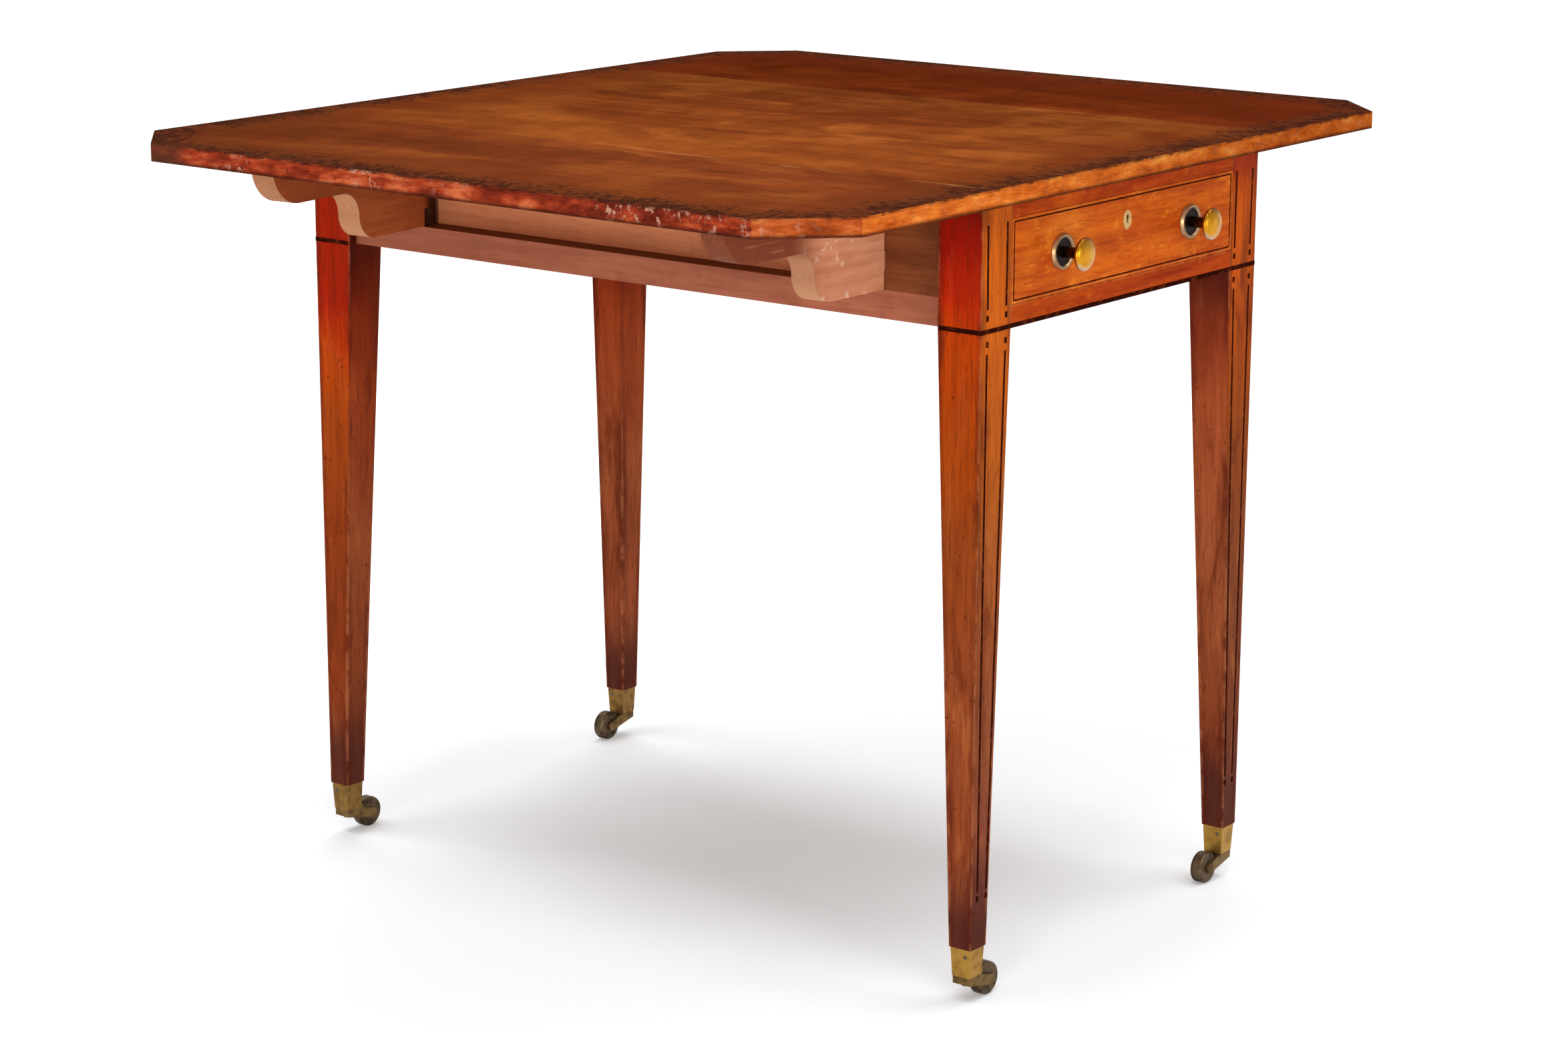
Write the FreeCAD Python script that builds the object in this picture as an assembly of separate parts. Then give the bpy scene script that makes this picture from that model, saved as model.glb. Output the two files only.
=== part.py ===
import FreeCAD, Part
import math
import os

V = FreeCAD.Vector
ORIGIN = V(0, 0, 0)
ALONG_X = V(1, 0, 0)
ALONG_Y = V(0, 1, 0)
UP = V(0, 0, 1)

# Table top, both leaves up
top_height = 720.0
top_thick = 16.0
top_width = 946.0
top_length = 802.0
corner_cant = 62.0
end_overhang = 15.0

# Rule joint between the fixed board and each leaf
joint_overhang = 5.0
joint_fillet = 3.4
joint_gap = 0.7
cove_clear = 0.4
pin_rise = 2.8

# Legs and frieze
frame_width = 446.0
leg_size = 44.0
leg_foot = 23.0
frieze_height = 108.0
rail_setback = 10.0
fly_thick = 25.0
side_rail_thick = 12.0
ledge_height = 25.0
tenon_length = 14.0
tenon_inset = 4.0

# Drawer end and dummy end
front_depth = 44.0
top_rail_height = 15.0
bottom_rail_height = 19.0
face_thick = 18.0
scribe_width = 1.2
runner_width = 15.0

# Fly brackets on wooden knuckles
bracket_setback = 119.0
bracket_tip_gap = 17.0
bracket_leaf_margin = 40.5
slack_angle = 6.0
bracket_thick = 24.4
bracket_clear = 0.6
shallow_share = 0.44
deep_length = 88.0
knuckle_radius = 12.2
shoulder_gap = 0.8
finger_count = 5
finger_gap = 0.4
fly_pin_radius = 2.5
fly_pin_tail = 10.0
run_fit = 0.05

# Back-flap hinges under the rule joint
hinge_inset = 111.0
hinge_length = 60.0
hinge_width = 38.0
plate_thick = 1.4
barrel_radius = 2.6
hinge_pin_radius = 1.2
hinge_clear = 0.4
barrel_clear = 1.6
knuckle_count = 5

# Drawer box
drawer_gap = 0.5
slide_gap = 1.0
drawer_back_room = 124.0
drawer_wood = 9.0
bottom_wood = 6.0
bottom_rise = 7.5
back_drop = 8.0
stop_gap = 0.4
stop_height = 6.0
stop_depth = 12.0
stop_width = 30.0
stop_offset = 110.0

# Drawer knobs, keyhole and lock
knob_offset = 104.0
knob_drop = 1.0
plate_radius = 16.0
plate_rim = 4.0
plate_dish = 2.4
knob_reach = 24.0
knob_radius = 14.5
knob_depth = 5.5
knob_tip = 1.0
neck_radius = 5.0
bolt_radius = 3.0
nut_radius = 6.5
nut_thick = 4.0
keyhole_rise = 16.0
escutcheon_half_width = 6.5
escutcheon_half_height = 8.5
escutcheon_thick = 1.6
escutcheon_proud = 0.5
key_radius = 1.8
key_slot = 1.6
key_drop = 5.0
lock_half_width = 24.0
lock_height = 36.0
lock_thick = 9.0
lock_drop = 1.5
bolt_half_width = 8.0
bolt_height = 16.0
bolt_thick = 3.0
lock_bolt_gap = 0.3
bolt_travel = 6.0
mortise_gap = 1.5

# Casters
wheel_radius = 15.0
wheel_width = 12.0
wheel_round = 2.5
wheel_gap = 0.5
axle_radius = 2.4
cheek_thick = 2.6
cheek_radius = 4.8
trail_extra = 11.0
crown_rise = 3.0
crown_thick = 6.7
crown_half = 8.5
swivel_gap = 0.3
pivot_radius = 3.0
pivot_head_radius = 5.0
pivot_head = 2.0
socket_height = 27.0
socket_base = 4.0
socket_wall = 1.8
socket_top = 21.0
socket_foot = 18.5
spigot_clear = 0.2

overrun = 1.0

# Positions that follow from the sizes above
under_z = top_height - top_thick
frieze_z = under_z - frieze_height
ledge_z = frieze_z + ledge_height
half_top_x = top_width / 2
half_top_y = top_length / 2
half_frame_x = frame_width / 2
half_frame_y = half_top_y - end_overhang
leg_inner_x = half_frame_x - leg_size
leg_inner_y = half_frame_y - leg_size
joint_x = half_frame_x + joint_overhang
pin_z = under_z + pin_rise
joint_radius = top_thick - pin_rise - joint_fillet
fly_outer_x = half_frame_x - rail_setback
fly_inner_x = fly_outer_x - fly_thick
side_inner_x = fly_inner_x - side_rail_thick
fly_axis_x = fly_outer_x - fly_thick / 2
shoulder = knuckle_radius + shoulder_gap
bracket_offset = half_frame_y - bracket_setback
room_folded = bracket_offset - bracket_tip_gap
room_open = half_top_x - fly_axis_x - bracket_leaf_margin
bracket_length = min(room_folded, room_open)
hinge_pitch = half_top_y - hinge_inset
bracket_low = ledge_z + bracket_clear
bracket_top = under_z - bracket_clear
drawer_low = frieze_z + bottom_rail_height
drawer_top = under_z - top_rail_height
drawer_mid = (drawer_low + drawer_top) / 2
face_inner_y = half_frame_y - face_thick
drawer_end_y = face_inner_y - drawer_back_room
crown_z = wheel_radius + crown_rise
crown_top = crown_z + crown_thick
socket_z = crown_top + swivel_gap
leg_end = socket_z + socket_height
foot_x = half_frame_x - leg_foot / 2
foot_y = half_frame_y - leg_foot / 2
trail = wheel_radius + trail_extra


def block(x0, x1, y0, y1, z0, z1):
    return Part.makeBox(x1 - x0, y1 - y0, z1 - z0, V(x0, y0, z0))


def rod(radius, base, length, axis):
    return Part.makeCylinder(radius, length, base, axis)


def square_wire(cx, cy, half, z):
    corners = [V(cx - half, cy - half, z), V(cx + half, cy - half, z),
               V(cx + half, cy + half, z), V(cx - half, cy + half, z)]
    return Part.makePolygon(corners + corners[:1])


def sweep_face(edges, push):
    return Part.Face(Part.Wire(edges)).extrude(push)


def line(a, b):
    return Part.makeLine(a, b)


def arc(centre, radius, side_a, side_b):
    # quarter arc from one side direction to the other about the centre
    middle = (side_a + side_b).normalize()
    points = [centre + side_a * radius, centre + middle * radius, centre + side_b * radius]
    return Part.Arc(*points).toShape()


def flip_x(shape):
    return shape.mirror(ORIGIN, ALONG_X)


def flip_y(shape):
    return shape.mirror(ORIGIN, ALONG_Y)


def joined(shapes):
    whole = shapes[0].fuse(shapes[1:])
    return whole.removeSplitter()


def group(shapes):
    return Part.makeCompound(shapes)


def save(shape, node):
    shape.exportStep("parts/" + node + ".step")


def hinge_stations():
    return [-hinge_pitch, 0, hinge_pitch]


def hinge_room(y):
    # space under the rounded edge for one hinge's barrel and leaf plate
    half = hinge_length / 2 + hinge_clear
    reach = joint_x + joint_radius + overrun
    roof = under_z + plate_thick + hinge_clear
    slot = block(joint_x, reach, y - half, y + half, under_z - overrun, roof)
    tunnel = rod(barrel_radius + barrel_clear, V(joint_x, y - half, pin_z), half + half, ALONG_Y)
    return slot.fuse(tunnel)


def hinge_knuckles(y, parity):
    # lengths along the barrel of the knuckles that belong to one plate
    step = hinge_length / knuckle_count
    spans = []
    for i in range(knuckle_count):
        if i % 2 == parity:
            low = y - hinge_length / 2 + i * step
            spans.append((low + finger_gap / 2, low + step - finger_gap / 2))
    return spans


def hinge_plate(y, side, parity, bore):
    # side +1 lies under the leaf, side -1 under the fixed board
    gap = barrel_radius + barrel_clear + hinge_clear / 2
    near = joint_x + side * gap
    far = joint_x + side * hinge_width
    half = hinge_length / 2
    top = under_z + plate_thick
    pieces = [block(min(near, far), max(near, far), y - half, y + half, under_z, top)]
    for low, high in hinge_knuckles(y, parity):
        pieces.append(block(min(joint_x, near), max(joint_x, near), low, high, under_z, top))
        pieces.append(rod(barrel_radius, V(joint_x, low, pin_z), high - low, ALONG_Y))
    plate = joined(pieces)
    hole = rod(bore, V(joint_x, y - half - overrun, pin_z), hinge_length + 2 * overrun, ALONG_Y)
    return plate.cut(hole)


def hinge_pin(y):
    return rod(hinge_pin_radius, V(joint_x, y - hinge_length / 2, pin_z), hinge_length, ALONG_Y)


def fixed_plates():
    return [hinge_plate(y, -1, 0, hinge_pin_radius) for y in hinge_stations()]


def leaf_plates():
    return [hinge_plate(y, 1, 1, hinge_pin_radius + run_fit) for y in hinge_stations()]


def half_board():
    # right half of the fixed board with its rounded rule-joint edge
    y0 = -half_top_y
    centre = V(joint_x, y0, pin_z)
    crown = V(joint_x, y0, pin_z + joint_radius)
    nose = V(joint_x + joint_radius, y0, pin_z)
    toe = V(joint_x + joint_radius, y0, under_z)
    edges = [line(V(0, y0, under_z), V(0, y0, top_height)),
             line(V(0, y0, top_height), V(joint_x, y0, top_height)),
             line(V(joint_x, y0, top_height), crown),
             arc(centre, joint_radius, UP, ALONG_X),
             line(nose, toe), line(toe, V(0, y0, under_z))]
    board = sweep_face(edges, V(0, top_length, 0))
    for y in hinge_stations():
        board = board.cut(hinge_room(y))
    for plate in fixed_plates():
        board = board.cut(plate)
    return board


def top_board():
    right = half_board()
    return joined([right, flip_x(right)])


def leaf():
    # right leaf with its hollow edge, canted outer corners and plate recesses
    y0 = -half_top_y
    cove = joint_radius + cove_clear
    centre = V(joint_x, y0, pin_z)
    lip = joint_x + joint_gap
    lip_rise = (cove * cove - joint_gap * joint_gap) ** 0.5
    start = V(lip, y0, pin_z + lip_rise)
    middle = centre + (UP + ALONG_X).normalize() * cove
    nose = V(joint_x + cove, y0, pin_z)
    toe = V(joint_x + cove, y0, under_z)
    outer_low = V(half_top_x, y0, under_z)
    outer_high = V(half_top_x, y0, top_height)
    lip_high = V(lip, y0, top_height)
    edges = [line(lip_high, start), Part.Arc(start, middle, nose).toShape(), line(nose, toe),
             line(toe, outer_low), line(outer_low, outer_high), line(outer_high, lip_high)]
    board = sweep_face(edges, V(0, top_length, 0))
    corner = [V(half_top_x - corner_cant, half_top_y, under_z - overrun),
              V(half_top_x, half_top_y - corner_cant, under_z - overrun),
              V(half_top_x + corner_cant, half_top_y, under_z - overrun),
              V(half_top_x, half_top_y + corner_cant, under_z - overrun)]
    wedge = Part.Face(Part.makePolygon(corner + corner[:1])).extrude(UP * (top_thick + 2 * overrun))
    board = board.cut(wedge).cut(flip_y(wedge))
    for plate in leaf_plates():
        board = board.cut(plate)
    return board


def side_rail():
    # inner carcase rail on the right, tenoned into two legs
    rail = block(side_inner_x, fly_inner_x, -leg_inner_y, leg_inner_y, frieze_z, under_z)
    reach = leg_inner_y + tenon_length
    x0 = leg_inner_x + tenon_inset / 2
    x1 = fly_inner_x - tenon_inset / 2
    tenon = block(x0, x1, -reach, reach, frieze_z + tenon_inset, under_z - tenon_inset)
    return joined([rail, tenon])


def ledge():
    strip = block(fly_inner_x, fly_outer_x, -leg_inner_y, leg_inner_y, frieze_z, ledge_z)
    return strip.cut(fly_pin(1)).cut(fly_pin(-1))


def fly_pin(end):
    base = V(fly_axis_x, end * bracket_offset, ledge_z - fly_pin_tail)
    return rod(fly_pin_radius, base, under_z - base.z, UP)


def fingers(parity):
    # heights of the knuckles that belong to the fixed block or to the bracket
    step = (bracket_top - bracket_low) / finger_count
    spans = []
    for i in range(finger_count):
        if i % 2 == parity:
            low = bracket_low + i * step + finger_gap / 2
            spans.append((low, low + step - finger_gap))
    return spans


def fly_block():
    # fixed knuckle block beside the back right leg
    y_near = bracket_offset + shoulder
    pieces = [block(fly_inner_x, fly_outer_x, y_near, leg_inner_y, ledge_z, under_z)]
    half = knuckle_radius
    for low, high in fingers(0):
        pieces.append(block(fly_axis_x - half, fly_axis_x + half, bracket_offset, y_near, low, high))
        pieces.append(rod(knuckle_radius, V(fly_axis_x, bracket_offset, low), high - low, UP))
    return joined(pieces).cut(fly_pin(1))


def bracket():
    # bracket reaching along +X from its pin at the origin
    half = bracket_thick / 2
    rise = (bracket_top - bracket_low) * (1 - shallow_share)
    shallow_z = bracket_low + rise
    curl = rise / 2
    tip_radius = bracket_top - shallow_z
    turn = bracket_length - tip_radius
    cove_x = deep_length + 2 * curl
    a = V(shoulder, -half, bracket_low)
    b = V(deep_length, -half, bracket_low)
    d = V(cove_x, -half, shallow_z)
    e = V(turn, -half, shallow_z)
    f = V(bracket_length, -half, bracket_top)
    g = V(shoulder, -half, bracket_top)
    edges = [line(a, b), arc(V(deep_length, -half, bracket_low + curl), curl, -UP, ALONG_X),
             arc(V(cove_x, -half, bracket_low + curl), curl, -ALONG_X, UP),
             line(d, e), arc(V(turn, -half, bracket_top), tip_radius, -UP, ALONG_X),
             line(f, g), line(g, a)]
    pieces = [sweep_face(edges, V(0, bracket_thick, 0))]
    for low, high in fingers(1):
        pieces.append(block(0, shoulder, -knuckle_radius, knuckle_radius, low, high))
        pieces.append(rod(knuckle_radius, V(0, 0, low), high - low, UP))
    bore = rod(fly_pin_radius + run_fit, V(0, 0, bracket_low - overrun), under_z, UP)
    return joined(pieces).cut(bore)


def placed_bracket(side, end, turn):
    shape = bracket()
    shape.rotate(ORIGIN, UP, turn)
    shape.translate(V(side * fly_axis_x, end * bracket_offset, 0))
    return shape


def end_rail(z0, z1):
    # rail across the drawer end, tenoned into both front legs
    rail = block(-leg_inner_x, leg_inner_x, -half_frame_y, front_depth - half_frame_y, z0, z1)
    reach = leg_inner_x + tenon_length
    y0 = tenon_inset - half_frame_y
    y1 = face_thick - half_frame_y
    tenon = block(-reach, reach, y0, y1, z0 + tenon_inset, z1 - tenon_inset)
    return joined([rail, tenon])


def front_top_rail():
    return end_rail(drawer_top, under_z).cut(bolt_mortise())


def front_bottom_rail():
    return end_rail(frieze_z, drawer_low)


def back_rail():
    # dummy drawer end with a scribed outline and bolt holes
    rail = block(-leg_inner_x, leg_inner_x, face_inner_y, half_frame_y, frieze_z, under_z)
    reach = leg_inner_x + tenon_length
    y0 = face_inner_y + tenon_inset
    y1 = half_frame_y - tenon_inset
    tenon = block(-reach, reach, y0, y1, frieze_z + tenon_inset, under_z - tenon_inset)
    wide = leg_inner_x + overrun
    inner = leg_inner_x - scribe_width
    face = half_frame_y - scribe_width
    proud = half_frame_y + overrun
    ring = block(-wide, wide, face, proud, drawer_low - scribe_width, drawer_top + scribe_width)
    ring = ring.cut(block(-inner, inner, face - overrun, proud + overrun, drawer_low, drawer_top))
    rail = joined([rail, tenon]).cut(ring)
    for bolt in back_knobs():
        rail = rail.cut(bolt)
    return rail


def leg():
    # back right leg: square stile, two tapered inner faces, spigot in the socket
    stile_x = half_frame_x - leg_size / 2
    stile_y = half_frame_y - leg_size / 2
    stile = block(leg_inner_x, half_frame_x, leg_inner_y, half_frame_y, frieze_z, under_z)
    upper = square_wire(stile_x, stile_y, leg_size / 2, frieze_z)
    lower = square_wire(foot_x, foot_y, leg_foot / 2, leg_end)
    taper = Part.makeLoft([upper, lower], True)
    return joined([stile, taper, spigot()])


def spigot():
    inset = socket_wall + spigot_clear
    head = square_wire(foot_x, foot_y, socket_top / 2 - inset, leg_end)
    tail = square_wire(foot_x, foot_y, socket_foot / 2 - inset, socket_z + socket_base)
    return Part.makeLoft([head, tail], True)


def socket():
    # square tapered brass box under the back right leg
    outer = Part.makeLoft([square_wire(foot_x, foot_y, socket_top / 2, leg_end),
                           square_wire(foot_x, foot_y, socket_foot / 2, socket_z)], True)
    floor_z = socket_z + socket_base
    taper_share = (leg_end + overrun - floor_z) / (leg_end - floor_z)
    mouth = socket_top / 2 - socket_wall
    base = socket_foot / 2 - socket_wall
    wide = base + (mouth - base) * taper_share
    hollow = Part.makeLoft([square_wire(foot_x, foot_y, wide, leg_end + overrun),
                            square_wire(foot_x, foot_y, base, floor_z)], True)
    return outer.cut(hollow).cut(pivot())


def pivot():
    # riveted swivel pin fixed in the socket's base
    head_z = crown_z - swivel_gap - pivot_head
    head = rod(pivot_head_radius, V(foot_x, foot_y, head_z), pivot_head, UP)
    stem = rod(pivot_radius, V(foot_x, foot_y, head_z), socket_z + socket_base - head_z, UP)
    return joined([head, stem])


def fork():
    # caster horn at the back right, trailing inward along -X, with its riveted axle
    y_in = wheel_width / 2 + wheel_gap
    y_out = y_in + cheek_thick
    axle = V(-trail, 0, wheel_radius)
    pieces = [block(-crown_half, crown_half, -y_out, y_out, crown_z, crown_top)]
    for y0 in (-y_out, y_in):
        eye = rod(cheek_radius, axle + V(0, y0, 0), cheek_thick, ALONG_Y)
        outline = [V(crown_half, y0, crown_top), V(-crown_half, y0, crown_top),
                   axle + V(0, y0, cheek_radius), axle + V(0, y0, -cheek_radius),
                   V(crown_half, y0, crown_z)]
        arm = Part.Face(Part.makePolygon(outline + outline[:1])).extrude(V(0, cheek_thick, 0))
        pieces += [eye, arm]
    pieces.append(rod(axle_radius, axle + V(0, -y_out, 0), y_out + y_out, ALONG_Y))
    horn = joined(pieces)
    bore = rod(pivot_radius + run_fit, V(0, 0, crown_z - overrun), crown_thick + 2 * overrun, UP)
    horn = horn.cut(bore)
    horn.translate(V(foot_x, foot_y, 0))
    return horn


def wheel():
    half = wheel_width / 2
    axle = V(foot_x - trail, foot_y, wheel_radius)
    tyre = rod(wheel_radius, axle + V(0, -half, 0), wheel_width, ALONG_Y)
    rims = [e for e in tyre.Edges if e.Closed]
    tyre = tyre.makeFillet(wheel_round, rims)
    bore = rod(axle_radius + run_fit, axle + V(0, -wheel_width, 0), 2 * wheel_width, ALONG_Y)
    return tyre.cut(bore)


def four_corners(shape):
    # the same piece at every leg, keyed by node prefix
    back_left = flip_x(shape)
    return {"back_right": shape, "back_left": back_left,
            "front_right": flip_y(shape), "front_left": flip_y(back_left)}


def turned(points, x, z):
    # turned brass piece on the dummy end, axis along +Y from the rail face
    outline = [V(x + r, half_frame_y + y, z) for r, y in points]
    face = Part.Face(Part.makePolygon(outline + outline[:1]))
    return face.revolve(V(x, 0, z), ALONG_Y, 360)


def knob_plate(x, z):
    rim = plate_radius - plate_rim / 2
    well = plate_radius - plate_rim
    points = [(bolt_radius, 0), (plate_radius, 0), (plate_radius, plate_dish / 2),
              (rim + plate_rim / 4, plate_rim), (rim - plate_rim / 4, plate_rim),
              (well, plate_dish), (bolt_radius, plate_dish)]
    return turned(points, x, z)


def knob(x, z):
    # flat domed knob with neck, through bolt and nut, all turned in one
    y_tail = -face_thick - nut_thick
    stem = [(0, y_tail), (nut_radius, y_tail), (nut_radius, -face_thick), (bolt_radius, -face_thick),
            (bolt_radius, plate_dish), (neck_radius, plate_dish)]
    centre = V(x, half_frame_y + knob_reach, z)
    oval = Part.Ellipse(centre + ALONG_X * knob_radius, centre + ALONG_Y * knob_depth, centre)
    back_turn = math.acos(neck_radius / knob_radius)
    tip_turn = math.acos(knob_tip / knob_radius)
    bow = Part.ArcOfEllipse(oval, -back_turn, tip_turn).toShape()
    crown = V(x, bow.Vertexes[1].Point.y, z)
    points = [V(x + r, half_frame_y + y, z) for r, y in stem] + [bow.Vertexes[0].Point]
    edges = Part.makePolygon(points).Edges + [bow, line(bow.Vertexes[1].Point, crown), line(crown, points[0])]
    return Part.Face(Part.Wire(edges)).revolve(centre, ALONG_Y, 360)


def back_knobs():
    z = drawer_mid - knob_drop
    return [knob(side * knob_offset, z) for side in (-1, 1)]


def back_plates():
    z = drawer_mid - knob_drop
    return [knob_plate(side * knob_offset, z) for side in (-1, 1)]


def keyhole(y0, y1):
    z = drawer_mid + keyhole_rise
    ward = rod(key_radius, V(0, y0, z), y1 - y0, ALONG_Y)
    return ward.fuse(block(-key_slot / 2, key_slot / 2, y0, y1, z - key_drop, z))


def escutcheon():
    z = drawer_mid + keyhole_rise - key_drop / 2
    y = -half_frame_y - escutcheon_proud
    oval = Part.Ellipse(V(0, y, z + escutcheon_half_height), V(escutcheon_half_width, y, z), V(0, y, z))
    disc = Part.Face(Part.Wire(oval.toShape())).extrude(V(0, escutcheon_thick, 0))
    return disc.cut(keyhole(y - overrun, y + escutcheon_thick + overrun))


def drawer_front():
    wide = leg_inner_x - drawer_gap
    front = block(-wide, wide, -half_frame_y, -face_inner_y, drawer_low + drawer_gap, drawer_top - drawer_gap)
    for bolt in back_knobs():
        front = front.cut(flip_y(bolt))
    front = front.cut(escutcheon())
    return front.cut(keyhole(-half_frame_y - overrun, -face_inner_y + overrun))


def drawer_side():
    outer = side_inner_x - slide_gap
    low = drawer_low + drawer_gap
    high = drawer_top - drawer_gap - back_drop / 2
    return block(outer - drawer_wood, outer, -face_inner_y, drawer_end_y, low, high)


def drawer_inside_x():
    return side_inner_x - slide_gap - drawer_wood


def drawer_bottom():
    wide = drawer_inside_x()
    low = drawer_low + bottom_rise
    return block(-wide, wide, -face_inner_y, drawer_end_y, low, low + bottom_wood)


def drawer_back():
    wide = drawer_inside_x()
    low = drawer_low + bottom_rise + bottom_wood
    high = drawer_top - drawer_gap - back_drop
    return block(-wide, wide, drawer_end_y - drawer_wood, drawer_end_y, low, high)


def runner():
    return block(side_inner_x - runner_width, side_inner_x, -leg_inner_y, face_inner_y, frieze_z, drawer_low)


def kicker():
    return block(side_inner_x - runner_width, side_inner_x, -leg_inner_y, face_inner_y, drawer_top, under_z)


def drawer_stop():
    y0 = stop_gap - face_inner_y
    x0 = stop_offset - stop_width / 2
    return block(x0, x0 + stop_width, y0, y0 + stop_depth, drawer_low, drawer_low + stop_height)


def lock_top():
    return drawer_top - drawer_gap - lock_drop


def lock_bolt():
    y0 = (lock_thick - bolt_thick) / 2 - face_inner_y
    return block(-bolt_half_width, bolt_half_width, y0, y0 + bolt_thick, lock_top() - bolt_height, lock_top())


def bolt_mortise():
    # hole in the rail above that takes the raised bolt
    g = mortise_gap
    y0 = (lock_thick - bolt_thick) / 2 - face_inner_y
    wide = bolt_half_width + g
    high = lock_top() + bolt_travel + g
    return block(-wide, wide, y0 - g, y0 + bolt_thick + g, drawer_top - overrun, high)


def lock_case():
    g = lock_bolt_gap
    z1 = lock_top()
    y0 = -face_inner_y
    case = block(-lock_half_width, lock_half_width, y0, y0 + lock_thick, z1 - lock_height, z1)
    wide = bolt_half_width + g
    bolt_y = y0 + (lock_thick - bolt_thick) / 2
    slot = block(-wide, wide, bolt_y - g, bolt_y + bolt_thick + g, z1 - bolt_height - g, z1 + overrun)
    return case.cut(slot).cut(keyhole(y0 - overrun, bolt_y))


def build():
    os.makedirs("parts", exist_ok=True)
    rail = side_rail()
    ends = [front_top_rail(), front_bottom_rail(), back_rail()]
    stem = group([pivot()])
    for name, shape in four_corners(leg()).items():
        for other in [rail, flip_x(rail)] + ends:
            shape = shape.cut(other)
        save(shape, name + "_leg")
    for name, shape in four_corners(socket()).items():
        save(shape, name + "_socket")
    for name, shape in four_corners(fork()).items():
        save(shape, name + "_caster_horn")
    for name, shape in four_corners(wheel()).items():
        save(shape, name + "_wheel")
    for name, shape in four_corners(fly_block()).items():
        save(shape, name + "_fly_block")
    save(group(list(four_corners(stem).values())), "caster_pivots")

    pins = [fly_pin(1), fly_pin(-1)]
    pairs = {"side_rail": rail, "ledge": ledge(), "leaf": leaf(), "fly_pins": group(pins),
             "hinge_board_plates": group(fixed_plates()), "hinge_leaf_plates": group(leaf_plates()),
             "hinge_pins": group([hinge_pin(y) for y in hinge_stations()])}
    for name, shape in pairs.items():
        save(shape, "right_" + name)
        save(flip_x(shape), "left_" + name)

    save(placed_bracket(-1, -1, 180), "front_left_bracket")
    save(placed_bracket(-1, 1, 180 + slack_angle), "back_left_bracket")
    save(placed_bracket(1, -1, 90), "front_right_bracket")
    save(placed_bracket(1, 1, -90), "back_right_bracket")

    save(top_board(), "top_board")
    save(ends[0], "front_top_rail")
    save(ends[1], "front_bottom_rail")
    save(ends[2], "back_rail")
    save(group([runner(), flip_x(runner())]), "drawer_runners")
    save(group([kicker(), flip_x(kicker())]), "drawer_kickers")
    save(group([drawer_stop(), flip_x(drawer_stop())]), "drawer_stops")

    save(drawer_front(), "drawer_front")
    save(drawer_side(), "drawer_right_side")
    save(flip_x(drawer_side()), "drawer_left_side")
    save(drawer_back(), "drawer_back")
    save(drawer_bottom(), "drawer_bottom")
    save(escutcheon(), "escutcheon")
    save(lock_case(), "lock_case")
    save(lock_bolt(), "lock_bolt")
    save(group(back_knobs()), "back_knobs")
    save(group(back_plates()), "back_knob_plates")
    save(group([flip_y(k) for k in back_knobs()]), "drawer_knobs")
    save(group([flip_y(p) for p in back_plates()]), "drawer_knob_plates")


build()
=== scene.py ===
import bpy, bmesh, math
from mathutils import Matrix, Vector


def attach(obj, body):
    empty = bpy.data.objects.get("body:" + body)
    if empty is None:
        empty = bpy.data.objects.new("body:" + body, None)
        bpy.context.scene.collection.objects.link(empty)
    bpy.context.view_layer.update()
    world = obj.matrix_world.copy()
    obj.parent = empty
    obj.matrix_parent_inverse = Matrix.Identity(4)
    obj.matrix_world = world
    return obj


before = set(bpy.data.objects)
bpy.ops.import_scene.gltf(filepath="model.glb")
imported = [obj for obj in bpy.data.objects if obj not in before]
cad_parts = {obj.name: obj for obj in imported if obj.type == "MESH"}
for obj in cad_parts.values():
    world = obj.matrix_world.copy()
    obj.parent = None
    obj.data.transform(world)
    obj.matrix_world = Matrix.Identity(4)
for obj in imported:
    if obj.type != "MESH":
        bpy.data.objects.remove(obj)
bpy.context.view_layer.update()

scene = bpy.context.scene


# Legs: four square mahogany legs, planed to a taper on the two inner faces below the frieze.
# The end faces are orange veneer and the sides a deep red, the difference partly painted light and
# shade by which way each face turns, both browner and duller near the feet.
corners = {"front_left": (-1, -1), "front_right": (1, -1),
           "back_left": (-1, 1), "back_right": (1, 1)}
leg_out_x, leg_out_y = 0.223, 0.386
leg_wide, leg_foot = 0.044, 0.023
taper_top, taper_foot = 0.596, 0.052


def linear(r, g, b):
    # eye values from 0 to 255 on the shader's own scale
    return tuple(((c / 255 + 0.055) / 1.055) ** 2.4 if c > 10 else c / 255 / 12.92
                 for c in (r, g, b)) + (1.0,)


def add(tree, kind, **values):
    node = tree.nodes.new(kind)
    for key, value in values.items():
        setattr(node, key, value)
    return node


def feed(tree, socket, value):
    if isinstance(value, (int, float, tuple)):
        socket.default_value = value
    else:
        tree.links.new(value, socket)


def maths(tree, operation, a, b=0.0):
    node = add(tree, "ShaderNodeMath", operation=operation)
    feed(tree, node.inputs[0], a)
    feed(tree, node.inputs[1], b)
    return node.outputs[0]


def times(tree, first, *others):
    for other in others:
        first = maths(tree, "MULTIPLY", first, other)
    return first


def plus(tree, first, *others):
    for other in others:
        first = maths(tree, "ADD", first, other)
    return first


def minus(tree, a, b):
    return maths(tree, "SUBTRACT", a, b)


def unsigned(tree, value):
    return maths(tree, "ABSOLUTE", value)


def distance(tree, a, b):
    return maths(tree, "SQRT", plus(tree, times(tree, a, a), times(tree, b, b)))


def blend(tree, factor, a, b, mode="MIX"):
    node = add(tree, "ShaderNodeMix", data_type="RGBA", blend_type=mode)
    feed(tree, node.inputs[0], factor)
    feed(tree, node.inputs[6], a)
    feed(tree, node.inputs[7], b)
    return node.outputs[2]


def darken(tree, colour, amount, factor=1.0):
    return blend(tree, factor, colour, amount, "MULTIPLY")


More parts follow.
